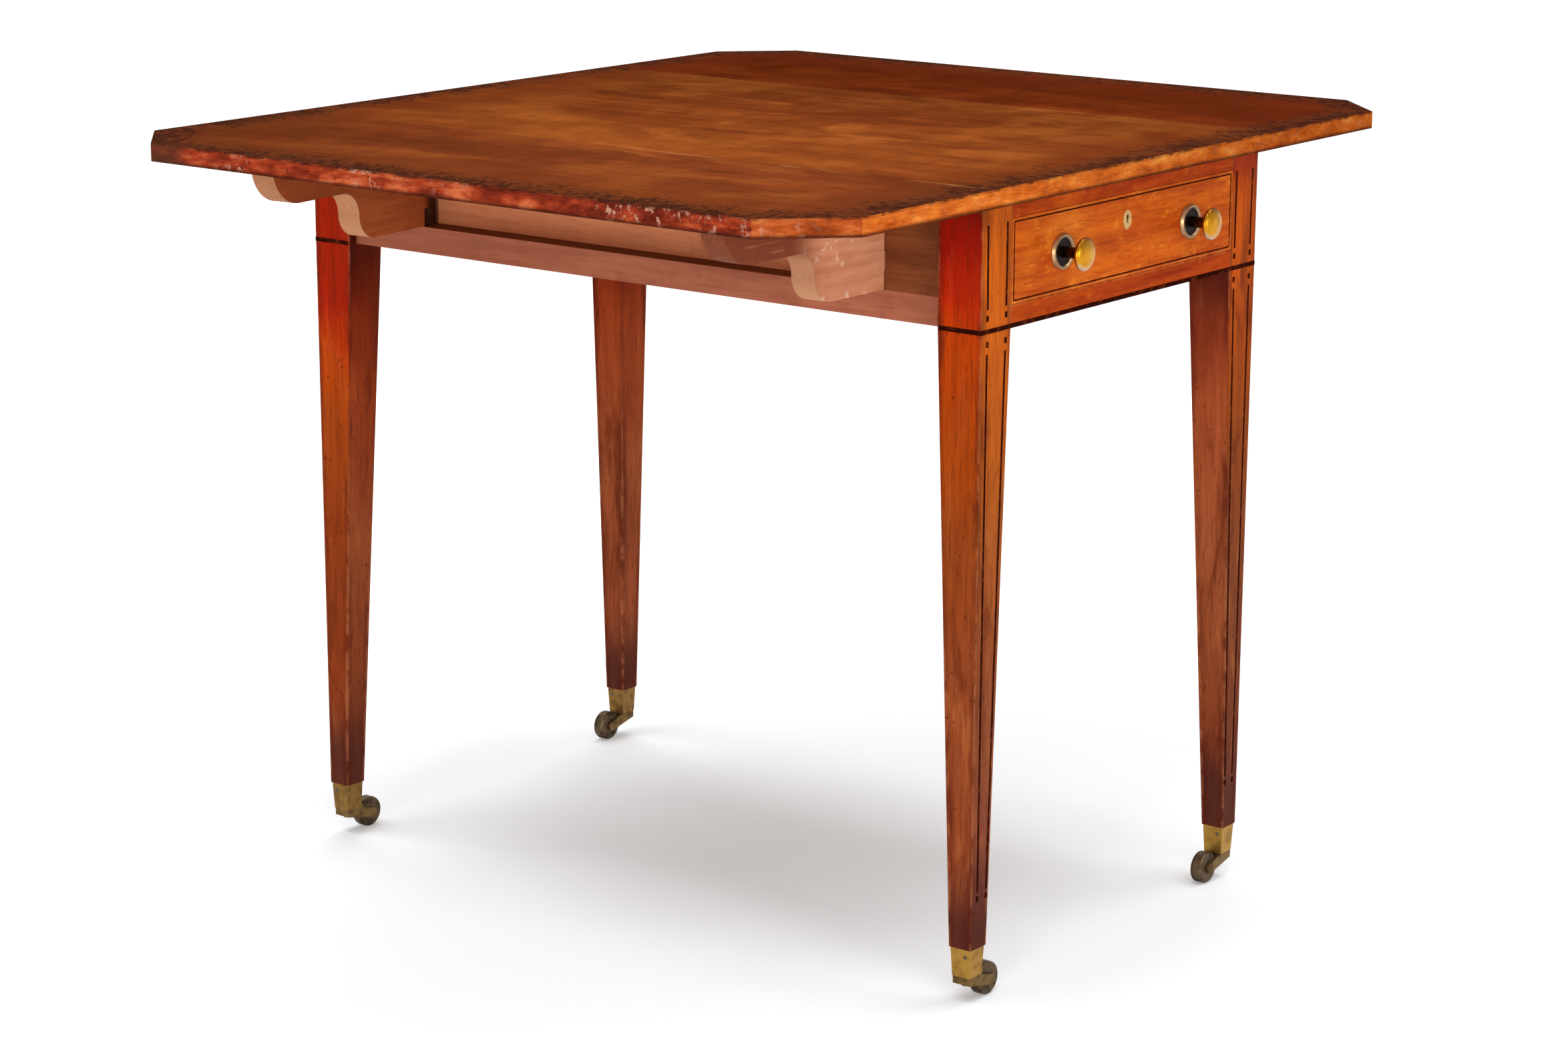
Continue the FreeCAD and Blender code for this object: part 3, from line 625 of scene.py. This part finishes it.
def top_finish(name, brown, dark, gold):
    material, tree, shader, coords = new_material(name)
    place = coords["Object"]
    figure = place_group(tree, wood_figure, Vector=place, Grain=(24.0, 2.6, 24.0))
    x, y, z = split(tree, place)
    nx, ny, nz = split(tree, coords["Normal"])
    ax, ay = unsigned(tree, x), unsigned(tree, y)
    # how far in from the nearest edge, cants included
    in_x, in_y = minus(tree, top_half_x, ax), minus(tree, top_half_y, ay)
    in_cant = minus(tree, top_half_x + top_half_y - corner_cant, plus(tree, ax, ay))
    reach = maths(tree, "MINIMUM", in_x, in_y)
    reach = maths(tree, "MINIMUM", reach, times(tree, in_cant, math.sqrt(0.5)))
    # streaks and flames of the figure; painted shade darkens it to the back, to the right and
    # towards every edge
    colour = blend(tree, span(tree, figure["Streak"], 0.32, 0.68, 0.2, 0.85), dark, brown)
    cloud = times(tree, span(tree, figure["Cloud"], 0.48, 0.68), 0.5)
    colour = blend(tree, cloud, colour, gold)
    flame = noise(tree, stretched(tree, place, (9.0, 3.4, 9.0)), 1.0, 4.0, 0.6, 1.2)
    colour = blend(tree, span(tree, flame, 0.52, 0.68, 0.0, 0.75), colour, gold)
    colour = blend(tree, span(tree, flame, 0.34, 0.48, 0.65, 0.0), colour, dark)
    ripple = noise(tree, stretched(tree, place, (14.0, 40.0, 14.0)), 1.0, 2.0, 0.5, 0.5)
    colour = darken(tree, colour, span(tree, ripple, 0.35, 0.65, 0.88, 1.0))
    colour = blend(tree, times(tree, figure["Pore"], 0.35), colour, linear(70, 30, 14))
    colour = darken(tree, colour, span(tree, y, -0.15, 0.42, 1.0, 0.72))
    colour = darken(tree, colour, span(tree, x, 0.0, joint_x, 1.0, 0.75))
    colour = darken(tree, colour, span(tree, x, joint_x, 0.38, 1.0, 0.77))
    colour = blend(tree, span(tree, reach, 0.0, 0.15, 0.75, 0.0), colour, dark)
    # a painted highlight along the rounded arris at each rule joint, broken, strongest at the near
    # end and on the left joint
    to_joint = unsigned(tree, minus(tree, ax, joint_x))
    breaks = noise(tree, stretched(tree, place, (0.0, 9.0, 0.0)), 1.0, 2.0)
    joint_highlight = times(tree, span(tree, to_joint, 0.0012, 0.0034, 1.0, 0.0),
                  span(tree, breaks, 0.44, 0.6), span(tree, x, -0.1, 0.1, 1.0, 0.15),
                  span(tree, y, -0.15, 0.05, 0.6, 0.06))
    colour = blend(tree, joint_highlight, colour, linear(210, 146, 90))
    # the crossband and its dark specks, thickest at the rim
    stray = times(tree, minus(tree, noise(tree, place, 50.0, 2.0), 0.5), 0.02)
    ragged = plus(tree, reach, stray)
    band = span(tree, ragged, band_wide * 0.6, band_wide * 1.1, 1.0, 0.0)
    rim = span(tree, ragged, 0.0, band_wide * 1.3, 0.15, 0.0)
    # the band's grain runs out to the edge, so its specks are drawn out that way
    by_end = span(tree, minus(tree, in_x, in_y), -0.01, 0.01)
    end_speck = noise(tree, stretched(tree, place, (260.0, 110.0, 120.0)), 1.0, 3.0, 0.65)
    long_speck = noise(tree, stretched(tree, place, (110.0, 260.0, 120.0)), 1.0, 3.0, 0.65)
    mixed = plus(tree, times(tree, end_speck, by_end),
                 times(tree, long_speck, minus(tree, 1.0, by_end)))
    patchy = span(tree, noise(tree, place, 16.0, 3.0), 0.35, 0.65, -0.05, 0.05)
    speck = times(tree, span(tree, plus(tree, mixed, rim, patchy), 0.54, 0.68),
                  span(tree, ragged, band_wide, band_wide * 1.5, 1.0, 0.0))
    colour = blend(tree, times(tree, band, 0.6), colour, linear(100, 52, 28))
    colour = blend(tree, times(tree, speck, 0.76), colour, linear(46, 25, 21))
    # the cut edges: tones that change along them, dark above and below
    tone = noise(tree, stretched(tree, place, (1.0, 1.0, 3.0)), 22.0, 4.0, 0.65)
    ridges = noise(tree, stretched(tree, place, (1.0, 1.0, 7.0)), 100.0, 3.0, 0.65)
    # end edges lighter and more orange than the long edges, partly painted light and shade by which
    # way each edge faces
    end_on = span(tree, unsigned(tree, ny), 0.56, 0.92)
    long_edge = ramp(tree, tone, tones(
        (0.3, 78, 26, 16), (0.44, 128, 44, 26), (0.54, 164, 62, 34), (0.68, 204, 106, 64)))
    end_edge = ramp(tree, tone, tones(
        (0.3, 160, 68, 20), (0.44, 200, 94, 30), (0.56, 220, 115, 42), (0.7, 236, 150, 66)))
    edge = blend(tree, end_on, long_edge, end_edge)
    edge = darken(tree, edge, span(tree, ridges, 0.36, 0.66, 0.78, 1.0))
    # painted light and shade: the edges lighter to the left and darker to the right
    edge = darken(tree, edge, span(tree, x, -0.35, 0.35, 1.12, 0.74))
    edge = darken(tree, edge, span(tree, unsigned(tree, nx), 0.3, 0.6, 1.0, 0.72), end_on)
    # chips in clusters, most near the front, dents, and dark lines along the upper and lower
    # arrises of the edge, the lower one partly painted shade beneath the top
    wear = place_group(tree, arris_wear, Vector=place, Distance=minus(tree, top_z, z), Reach=0.005)
    cluster = plus(tree, noise(tree, place, 8.0, 2.0), span(tree, y, -0.32, -0.2, 0.14, 0.0))
    chips = span(tree, noise(tree, place, 95.0, 3.0, 0.7), 0.53, 0.6)
    bare = times(tree, chips, span(tree, cluster, 0.52, 0.62),
                 span(tree, end_on, 0.0, 1.0, 0.75, 0.06))
    edge = blend(tree, bare, edge, linear(206, 152, 128))
    dents = times(tree, wear["Dent"], span(tree, end_on, 0.0, 1.0, 0.8, 0.35))
    edge = blend(tree, dents, edge, linear(64, 26, 22))
    grime_and_shade = maths(tree, "MAXIMUM", span(tree, z, 0.7172, 0.7194, 0.0, 0.85),
                  span(tree, z, 0.7045, 0.7082, 0.85, 0.0))
    grime_and_shade = times(tree, grime_and_shade, span(tree, wear["Worn"], 0.0, 1.0, 1.0, 0.3))
    edge = blend(tree, grime_and_shade, edge, linear(60, 28, 18))
    # painted shade: the edges darker at the back
    edge = blend(tree, span(tree, y, 0.285, 0.315, 0.0, 0.75), edge, linear(84, 50, 34))
    # the underside was planed and never polished
    flat = span(tree, unsigned(tree, nz), 0.45, 0.75)
    under = span(tree, nz, -0.75, -0.45, 1.0, 0.0)
    planed = blend(tree, span(tree, figure["Streak"], 0.38, 0.62), linear(112, 58, 30),
                   linear(150, 84, 46))
    colour = blend(tree, under, blend(tree, flat, edge, colour), planed)
    rough = plus(tree, span(tree, figure["Streak"], 0.3, 0.7, 0.36, 0.48),
                 times(tree, band, 0.15), times(tree, under, 0.2))
    finish_wood(tree, shader, colour, rough, 0.0)
    broken = times(tree, minus(tree, 1.0, flat), plus(tree, chips, wear["Dent"]))
    raise_bump(tree, shader, minus(tree, figure["Height"], times(tree, broken, 3.0)), 0.0004, 0.5)
    return material


# the top board is painted lighter than the leaves as a sheen in the middle of the top, and the
# right leaf darkest, as painted shade
board_tones = {
    "left_leaf": (linear(146, 70, 34), linear(106, 50, 24), linear(160, 84, 38)),
    "top_board": (linear(156, 79, 33), linear(110, 49, 21), linear(174, 95, 40)),
    "right_leaf": (linear(131, 54, 19), linear(103, 39, 18), linear(149, 67, 26))}
for board, (brown, dark, gold) in board_tones.items():
    ease(paint(board, top_finish("waxed_" + board, brown, dark, gold)), 0.0008)


# Hinges: wrought iron back flaps let into the underside at each rule joint, turning on plain
# iron pins and held by slotted screws. The bracket pins are the same iron.
hinge_places, flap_reach, top_under = (-0.29, 0.0, 0.29), 0.026, 0.704
# each flap has three screws: along the hinge, and out from the pin as a share of the flap
flap_screws = ((-0.022, 0.75), (0.0, 1.15), (0.022, 0.75))
head_rings, head_drop = ((0.0036, -0.0002), (0.0036, 0.0002), (0.0030, 0.00045)), 0.00045
half_slot, slot_wide, slot_proud, slot_deep = 0.0028, 0.0008, 0.00006, 0.0001
down = Vector((0, 0, -1))
for side in ("left", "right"):
    for piece in ("_fly_pins", "_hinge_board_plates", "_hinge_leaf_plates", "_hinge_pins"):
        paint(side + piece, wrought_iron)


def turned(count):
    return [math.tau * i / count for i in range(count)]


def screw_heads(name, places, body):
    # slotted heads, sunk from below and almost flush, no two slots alike
    bm = bmesh.new()
    for place in places:
        centre = Vector(place)
        turn = math.radians(37 + 53 * len(bm.verts) % 180)
        rings = [[bm.verts.new(centre + Vector((radius * math.cos(a), radius * math.sin(a), -drop)))
                  for a in turned(20)] for radius, drop in head_rings]
        skin(bm, rings)
        bm.faces.new(rings[-1])
        bm.faces.new(rings[0][::-1])
        arm = Vector((math.cos(turn), math.sin(turn), 0)) * half_slot
        face = centre + down * head_drop
        before = len(bm.faces)
        # the slot is a thin dark strip standing just proud of the head: painted shade in place of a
        # cut
        lay_slab(bm, face - arm, face + arm, slot_wide, down, slot_proud, slot_deep)
        bm.faces.ensure_lookup_table()
        for slot_face in bm.faces[before:]:
            slot_face.material_index = 1
    finish_piece(name, bm, [wrought_iron, dark_string], body)


for side, sx in (("left", -1), ("right", 1)):
    for part, body, out in (("board", "frame", -flap_reach), ("leaf", side + "_leaf", flap_reach)):
        places = [(sx * (joint_x + out * share), y + step, top_under)
                  for y in hinge_places for step, share in flap_screws]
        screw_heads(side + "_hinge_" + part + "_screws", places, body)


# Casters: cast brass box sockets slipped over the feet and nailed, with swivelling brass horns
# and thick solid wheels that have gone dark.
foot_x, box_half, nail_y, nail_z = 0.2115, 0.01018, 0.3795, 0.0447
nail_rings = ((0.0019, -0.0004), (0.0018, 0.0003), (0.0011, 0.0007))
socket_brass = {
    -1: brass_finish("front_socket_brass", linear(172, 130, 58), linear(118, 86, 44), 0.36, 0.5),
    1: brass_finish("back_socket_brass", linear(138, 104, 52), linear(92, 68, 36), 0.4, 0.6)}
horn_brass = brass_finish("horn_brass", linear(120, 94, 54), linear(72, 56, 38), 0.4, 0.7)
wheel_brass = brass_finish("wheel_brass", linear(96, 78, 58), linear(52, 42, 34), 0.42, 0.8)
paint("caster_pivots", wrought_iron)
for corner, (sx, sy) in corners.items():
    ease(paint(corner + "_socket", socket_brass[sy]), 0.0006)
    ease(paint(corner + "_caster_horn", horn_brass), 0.0005)
    paint(corner + "_wheel", wheel_brass)
    bm = bmesh.new()
    for face in (1, -1):
        # one domed nail on the outer and one on the inner side of the box
        centre = Vector((sx * foot_x + face * sx * box_half, sy * nail_y, nail_z))
        outward = Vector((face * sx, 0, 0))
        rings = [[bm.verts.new(centre + outward * lift
                               + Vector((0, radius * math.cos(a), radius * math.sin(a))))
                  for a in turned(14)] for radius, lift in nail_rings]
        skin(bm, rings)
        bm.faces.new(rings[-1])
        bm.faces.new(rings[0][::-1])
    finish_piece(corner + "_socket_nails", bm, [wrought_iron], "frame")


# Studio: a white floor that keeps the table's soft shadow, an even pale sky a little brighter
# overhead, two soft lamps above each corner, low fills at the near sides, and the camera.
floor_half, floor_tint, floor_glow = 40, (0.875, 0.912, 0.94, 1), 0.27
sky_low, sky_high = 0.17, 0.23


def in_sight(tree):
    # the rays that show the backdrop itself: straight, mirrored or through glass
    path = add(tree, "ShaderNodeLightPath").outputs
    mirrored = maths(tree, "MAXIMUM", path["Is Glossy Ray"], path["Is Transmission Ray"])
    return maths(tree, "MAXIMUM", path["Is Camera Ray"], mirrored)


floor = bpy.data.objects.new("floor", bpy.data.meshes.new("floor"))
scene.collection.objects.link(floor)
floor_corners = [(sx * floor_half, sy * floor_half, 0)
                 for sx, sy in ((-1, -1), (1, -1), (1, 1), (-1, 1))]
floor.data.from_pydata(floor_corners, [], [(0, 1, 2, 3)])
floor_white = bpy.data.materials.new("floor_white")
floor_white.use_nodes = True
tree = floor_white.node_tree
tree.nodes.clear()
matt = add(tree, "ShaderNodeBsdfDiffuse")
matt.inputs["Color"].default_value = floor_tint
glow = add(tree, "ShaderNodeEmission")
tree.links.new(times(tree, in_sight(tree), floor_glow), glow.inputs["Strength"])
both = add(tree, "ShaderNodeAddShader")
tree.links.new(matt.outputs[0], both.inputs[0])
tree.links.new(glow.outputs[0], both.inputs[1])
tree.links.new(both.outputs[0], add(tree, "ShaderNodeOutputMaterial").inputs["Surface"])
floor.data.materials.append(floor_white)

world = bpy.data.worlds.new("studio")
scene.world = world
world.use_nodes = True
tree = world.node_tree
rise = split(tree, add(tree, "ShaderNodeTexCoord").outputs["Generated"])["Z"]
sky = maths(tree, "MAXIMUM", in_sight(tree), span(tree, rise, 0.0, 0.8, sky_low, sky_high))
tree.links.new(sky, tree.nodes["Background"].inputs["Strength"])
tree.nodes["Background"].inputs["Color"].default_value = (1, 1, 1, 1)

# each lamp: its name, the way it points, its strength and its softness in degrees
lamps = [("end_fill", (0.3, 0.92, -0.1), 0.9, 14), ("side_fill", (0.92, 0.3, -0.07), 0.85, 8)]
for corner, (sx, sy) in corners.items():
    lamps.append((corner + "_high_lamp", (-0.35 * sx, -0.18 * sy, -0.92), 0.55, 18))
    lamps.append((corner + "_lamp", (-0.27 * sx, -0.47 * sy, -0.84), 0.31, 18))
for name, toward, power, softness in lamps:
    lamp = bpy.data.objects.new(name, bpy.data.lights.new(name, "SUN"))
    lamp.data.energy = power
    lamp.data.angle = math.radians(softness)
    lamp.rotation_euler = Vector(toward).to_track_quat("-Z", "Y").to_euler()
    scene.collection.objects.link(lamp)

camera = bpy.data.objects.new("camera", bpy.data.cameras.new("camera"))
scene.collection.objects.link(camera)
scene.camera = camera
bearing, lift, tilt = math.radians(-142.48), math.radians(13.88), math.radians(0.2)
focal_pixels, image_wide = 5423.9, 2348
back = Vector((math.cos(lift) * math.cos(bearing), math.cos(lift) * math.sin(bearing),
               math.sin(lift)))
right = (-back).cross(Vector((0, 0, 1))).normalized()
up = right.cross(-back)
right, up = (math.cos(tilt) * right + math.sin(tilt) * up,
             math.cos(tilt) * up - math.sin(tilt) * right)
camera.matrix_world = Matrix((right, up, back)).transposed().to_4x4()
camera.location = (-2.6716, -2.0605, 1.1662)
camera.data.sensor_width = 36.0
camera.data.lens = focal_pixels / image_wide * camera.data.sensor_width
camera.data.clip_end = 200
scene.view_settings.view_transform = "Standard"
